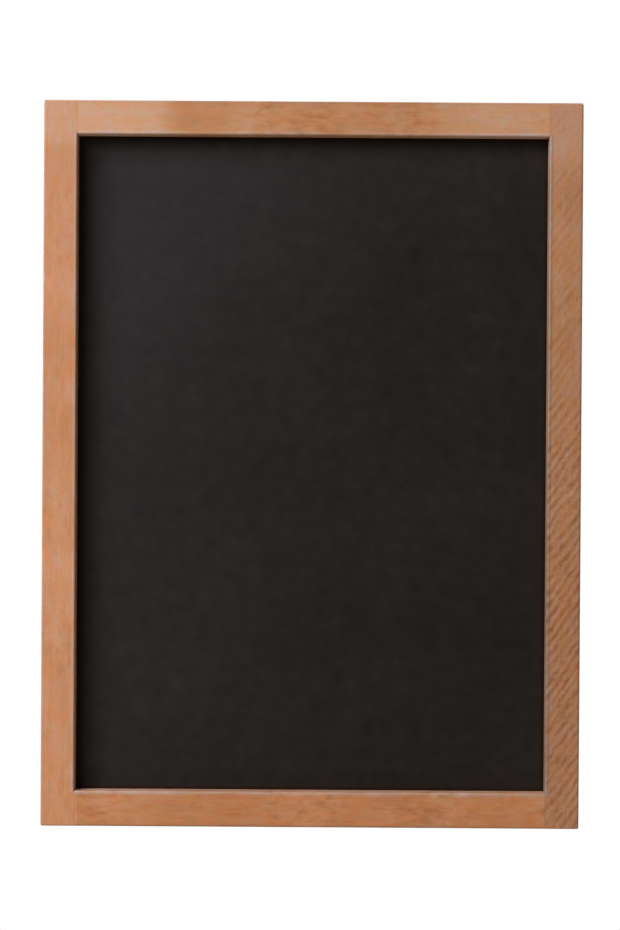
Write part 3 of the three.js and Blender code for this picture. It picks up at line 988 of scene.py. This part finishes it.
class CHALKBOARD_OT_hanger_rings(bpy.types.Operator):
    """Model the D-rings that turn in the hangers' barrels"""

    bl_idname = "chalkboard.hanger_rings"
    bl_label = "Hanger rings"

    def ring(self, side, material):
        settings = chosen("hardware")
        name = f"{side}_hanger_ring"
        low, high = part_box(name)
        pivot = pivot_of(side)
        wire = settings.wire_diameter / 2
        half = (high.x - low.x) / 2 - wire
        corner = settings.ring_corner
        leg = pivot.z - low.z - wire - half
        upper_turn, bow_turn = (math.pi / 2, 8), (math.pi, 28)
        bm = bmesh.new()
        start = Matrix.Translation(pivot + Vector((RING_SEAM, 0, 0))) @ Matrix.Rotation(math.pi / 2, 4, "Y")
        bmesh.ops.create_circle(bm, cap_ends=True, segments=settings.wire_sides, radius=wire, matrix=start)
        face = extrude(bm, bm.faces[:][0], (half - corner - RING_SEAM, 0, 0))
        face = self.turn(bm, face, pivot + Vector((half - corner, 0, -corner)), *upper_turn)
        face = extrude(bm, face, (0, 0, corner - leg))
        face = self.turn(bm, face, pivot + Vector((0, 0, -leg)), *bow_turn)
        face = extrude(bm, face, (0, 0, leg - corner))
        face = self.turn(bm, face, pivot + Vector((corner - half, 0, -corner)), *upper_turn)
        extrude(bm, face, (half - corner - RING_SEAM, 0, 0))
        bmesh.ops.remove_doubles(bm, verts=bm.verts, dist=TOUCHING)
        face_outwards(bm)
        finish_piece(bm, f"{name}_wire", material, f"{side}_ring", "hanger_steel", name)

    def turn(self, bm, face, centre, angle, steps):
        swept = bmesh.ops.spin(
            bm, geom=[face], cent=centre, axis=(0, 1, 0), angle=angle, steps=steps, use_duplicate=False
        )
        return next(item for item in swept["geom_last"] if isinstance(item, bmesh.types.BMFace))

    def execute(self, context):
        zinc = metal_finish("ring_zinc", chosen("hardware").zinc_colour, 0.3, 0.35)
        for side in SIDES:
            self.ring(side, zinc)
        return {"FINISHED"}


class CHALKBOARD_OT_hanger_plates(bpy.types.Operator):
    """Model the strap plates with their rolled barrels"""

    bl_idname = "chalkboard.hanger_plates"
    bl_label = "Hanger plates"

    def plate(self, side, material):
        settings = chosen("hardware")
        name = f"{side}_hanger_plate"
        low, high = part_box(name)
        pivot = pivot_of(side)
        half = (high.x - low.x) / 2
        level = low.z + half
        bm = bmesh.new()
        lying = Matrix.Translation((pivot.x, low.y, level)) @ Matrix.Rotation(math.pi / 2, 4, "X")
        bmesh.ops.create_circle(bm, cap_ends=False, segments=32, radius=half, matrix=lying)
        upper = [vert for vert in bm.verts if vert.co.z > level + NEARLY]
        bmesh.ops.delete(bm, geom=upper, context="VERTS")
        ends = [vert for vert in bm.verts if vert.co.z > level - NEARLY]
        top = [bm.verts.new((vert.co.x, vert.co.y, pivot.z)) for vert in ends]
        for vert, raised in zip(ends, top):
            bm.edges.new((vert, raised))
        bm.edges.new(top)
        face = bmesh.ops.contextual_create(bm, geom=list(bm.edges))["faces"][0]
        extrude(bm, face, (0, settings.strap_thickness, 0))
        face_outwards(bm)
        end = max(bm.faces, key=lambda item: item.calc_center_median().z)
        bmesh.ops.spin(
            bm, geom=[end], cent=pivot, axis=(-1, 0, 0), angle=BARREL_SWEEP, steps=36, use_duplicate=False
        )
        bmesh.ops.remove_doubles(bm, verts=bm.verts, dist=TOUCHING)
        face_outwards(bm)
        rim = [edge for edge in bm.edges if edge.calc_face_angle(0) > math.radians(50)]
        bevel_edges(bm, rim, STRAP_ARRIS, 2)
        finish_piece(bm, f"{name}_strap", material, "frame", "hanger_steel", name)

    def execute(self, context):
        zinc = metal_finish("strap_zinc", chosen("hardware").zinc_colour, 0.34, 0.45)
        for side in SIDES:
            self.plate(side, zinc)
        return {"FINISHED"}


def lathed(profile, centre, steps):
    """A solid turned about +Y through centre, from a profile of (radius, distance along +Y)."""
    bm = bmesh.new()
    verts = [bm.verts.new(centre + Vector((radius, along, 0))) for radius, along in profile]
    edges = [bm.edges.new(pair) for pair in zip(verts, verts[1:])]
    turned = [*verts, *edges]
    bmesh.ops.spin(
        bm, geom=turned, cent=centre, axis=(0, 1, 0), angle=2 * math.pi, steps=steps, use_merge=True
    )
    bmesh.ops.remove_doubles(bm, verts=bm.verts, dist=NEARLY)
    face_outwards(bm)
    return bm


class CHALKBOARD_OT_hanger_screws(bpy.types.Operator):
    """Model the cross-recessed screws that hold the plates"""

    bl_idname = "chalkboard.hanger_screws"
    bl_label = "Hanger screws"

    def screw(self, side, material):
        """A screw whose head is rounded over a short rim and whose recess is cut by two crossed bars."""
        name = f"{side}_hanger_screw"
        low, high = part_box(name)
        head = (high.x - low.x) / 2
        seat = BACK + chosen("hardware").strap_thickness
        height = high.y - seat
        rim = height * 0.35
        point = low.y - seat
        centre = middle_of(low, high)
        centre.y = seat
        profile = [(0.0, point), (SHANK_RADIUS, point + SHANK_TIP), (SHANK_RADIUS, 0.0)]
        profile += [(head - SCREW_ARRIS, 0.0), (head, SCREW_ARRIS), (head, rim)]
        for turn in quarter_turns(8)[1:]:
            profile.append((head * math.cos(turn), rim + (height - rim) * math.sin(turn)))
        profile[-1] = (0.0, height)
        body = mesh_object(f"{name}_helper", lathed(profile, centre, 40))
        for angle in (RECESS_TURN, RECESS_TURN + math.pi / 2):
            bm = bmesh.new()
            turned = Matrix.Translation((centre.x, high.y, centre.z)) @ Matrix.Rotation(angle, 4, "Y")
            bmesh.ops.create_cube(bm, size=1, matrix=turned @ Matrix.Diagonal((*RECESS, 1)))
            carve = body.modifiers.new("slot", "BOOLEAN")
            carve.operation = "DIFFERENCE"
            carve.object = mesh_object("slot_helper", bm)
            carve.solver = "EXACT"
        evaluated = body.evaluated_get(bpy.context.evaluated_depsgraph_get())
        bm = bmesh.new()
        bm.from_mesh(evaluated.to_mesh())
        for helper in [body, *[modifier.object for modifier in body.modifiers]]:
            bpy.data.objects.remove(helper)
        finish_piece(bm, f"{name}_steel", material, "frame", "screw_steel", name, sharp=35)

    def execute(self, context):
        zinc = metal_finish("screw_zinc", chosen("hardware").zinc_colour, 0.3, 0.5)
        for side in SIDES:
            self.screw(side, zinc)
        return {"FINISHED"}


class CHALKBOARD_OT_bumpers(bpy.types.Operator):
    """Model the rubber bumpers at the lower back corners"""

    bl_idname = "chalkboard.bumpers"
    bl_label = "Bumpers"

    def bumper(self, side, material):
        name = f"{side}_bumper"
        low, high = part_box(name)
        radius = (high.x - low.x) / 2
        height = high.y - low.y
        centre = middle_of(low, high)
        centre.y = low.y
        face = 0.7 * radius
        shoulder, rise = radius - face, height - BUMPER_SKIRT
        profile = [(0.0, 0.0), (radius - BUMPER_ARRIS, 0.0), (radius, BUMPER_ARRIS), (radius, BUMPER_SKIRT)]
        for turn in quarter_turns(10)[1:]:
            profile.append((face + shoulder * math.cos(turn), BUMPER_SKIRT + rise * math.sin(turn)))
        profile += [(across, height - depth) for across, depth in BUMPER_DIMPLE]
        finish_piece(lathed(profile, centre, 48), f"{name}_rubber", material, "frame", "bumper_rubber", name)

    def execute(self, context):
        rubber = rubber_finish()
        for side in SIDES:
            self.bumper(side, rubber)
        return {"FINISHED"}


class CHALKBOARD_OT_stage(bpy.types.Operator):
    """Set up the camera, the soft light and the pale floor"""

    bl_idname = "chalkboard.stage"
    bl_label = "Stage"

    def camera(self, settings):
        data = bpy.data.cameras.new("camera")
        data.sensor_width = 36
        data.lens = data.sensor_width * settings.camera_distance / settings.view_height
        row = settings.view_height / PICTURE_ROWS
        aim = Vector((BOARD_CENTRE.x + AIM_SHIFT_ROWS * row, FRONT, BOARD_CENTRE.z))
        place = aim + Vector((0, -settings.camera_distance, settings.camera_rise))
        camera = placed_object("camera", data, place)
        level = (aim - place).to_track_quat("-Z", "Y").to_matrix().to_4x4()
        camera.rotation_euler = (level @ Matrix.Rotation(settings.camera_roll, 4, "Z")).to_euler()
        bpy.context.scene.camera = camera

    def lamp(self, name, place, size, power):
        data = bpy.data.lights.new(name, "AREA")
        data.shape = "RECTANGLE"
        data.size, data.size_y = size
        data.energy = power
        data.color = LAMP_TINT
        lamp = placed_object(name, data, place)
        aim = BOARD_CENTRE - lamp.location
        lamp.rotation_euler = aim.to_track_quat("-Z", "Y").to_euler()

    def sky(self, settings):
        """An even light on the board, and plain white where the camera or a reflection sees it."""
        world = bpy.data.worlds.new("studio")
        bpy.context.scene.world = world
        world.use_nodes = True
        tree = world.node_tree
        tree.nodes.clear()
        path = tree.nodes.new("ShaderNodeLightPath")
        seen = path.outputs["Is Camera Ray"]
        for name in ("Is Glossy Ray", "Is Transmission Ray"):
            either = tree.nodes.new("ShaderNodeMath")
            either.operation = "MAXIMUM"
            tree.links.new(seen, either.inputs[0])
            tree.links.new(path.outputs[name], either.inputs[1])
            seen = either.outputs["Value"]
        blend = tree.nodes.new("ShaderNodeMixShader")
        tree.links.new(seen, blend.inputs["Fac"])
        for slot, colour, strength in ((1, SKY_TINT, settings.sky_strength), (2, (1.0, 1.0, 1.0), 1.0)):
            light = tree.nodes.new("ShaderNodeBackground")
            light.inputs["Color"].default_value = (*colour, 1.0)
            light.inputs["Strength"].default_value = strength
            tree.links.new(light.outputs["Background"], blend.inputs[slot])
        output = tree.nodes.new("ShaderNodeOutputWorld")
        tree.links.new(blend.outputs["Shader"], output.inputs["Surface"])

    def floor(self, settings):
        """A pale round floor that fades out towards its rim."""
        bm = bmesh.new()
        level = Matrix.Translation((0, 0, LEFT_LOW.z - settings.floor_drop))
        bmesh.ops.create_circle(bm, cap_ends=True, segments=96, radius=FLOOR_RADIUS, matrix=level)
        floor = mesh_object("floor", bm)
        finish = Finish("pale_floor", roughness=0.9, specular=0.2)
        place = finish.place()
        x, y, _ = finish.split(place)
        away = finish.maths("SQRT", x * x + y * y)
        grain = finish.noise(place, FLOOR_MOTTLE, detail=3.0)
        finish.surface(
            base_color=finish.ramp(grain, (0.2, (0.84, 0.84, 0.83)), (0.8, (0.9, 0.9, 0.89))),
            alpha=away.remap(*FLOOR_FADE, 1.0, 0.0),
        )
        floor.data.materials.append(finish.material)

    def execute(self, context):
        settings = chosen("studio")
        powers = (
            settings.key_power,
            settings.side_power,
            settings.back_power,
            settings.back_power * REAR_FILL_SHARE,
            settings.edge_power,
        )
        self.camera(settings)
        for (name, place, size), power in zip(LAMPS, powers):
            self.lamp(name, place, size, power)
        self.sky(settings)
        self.floor(settings)
        context.scene.view_settings.view_transform = "Standard"
        return {"FINISHED"}


class CHALKBOARD_PT_panel(bpy.types.Panel):
    """Lists the chalkboard's settings and the steps that make it"""

    bl_label = "Chalkboard"
    bl_space_type = "VIEW_3D"
    bl_region_type = "UI"
    bl_category = "Chalkboard"

    def draw(self, context):
        settings = context.scene.chalkboard
        for group in (settings.wood, settings.board, settings.hardware, settings.studio):
            box = self.layout.box()
            for name in group.__annotations__:
                box.prop(group, name)
        for step in STEPS:
            self.layout.operator(step.bl_idname)


STEPS = (
    CHALKBOARD_OT_stage,
    CHALKBOARD_OT_frame_members,
    CHALKBOARD_OT_writing_sheet,
    CHALKBOARD_OT_backing_board,
    CHALKBOARD_OT_dowels,
    CHALKBOARD_OT_framers_points,
    CHALKBOARD_OT_hanger_plates,
    CHALKBOARD_OT_hanger_rings,
    CHALKBOARD_OT_hanger_screws,
    CHALKBOARD_OT_bumpers,
)
CLASSES = (
    WoodSettings,
    BoardSettings,
    HardwareSettings,
    StudioSettings,
    ChalkboardSettings,
    *STEPS,
    CHALKBOARD_PT_panel,
)


def register():
    for cls in CLASSES:
        bpy.utils.register_class(cls)
    bpy.types.Scene.chalkboard = PointerProperty(type=ChalkboardSettings)


def unregister():
    del bpy.types.Scene.chalkboard
    for cls in reversed(CLASSES):
        bpy.utils.unregister_class(cls)


def main():
    register()
    bpy.ops.chalkboard.stage()
    bpy.ops.chalkboard.frame_members()
    bpy.ops.chalkboard.writing_sheet()
    bpy.ops.chalkboard.backing_board()
    bpy.ops.chalkboard.dowels()
    bpy.ops.chalkboard.framers_points()
    bpy.ops.chalkboard.hanger_plates()
    bpy.ops.chalkboard.hanger_rings()
    bpy.ops.chalkboard.hanger_screws()
    bpy.ops.chalkboard.bumpers()


if __name__ == "__main__":
    main()
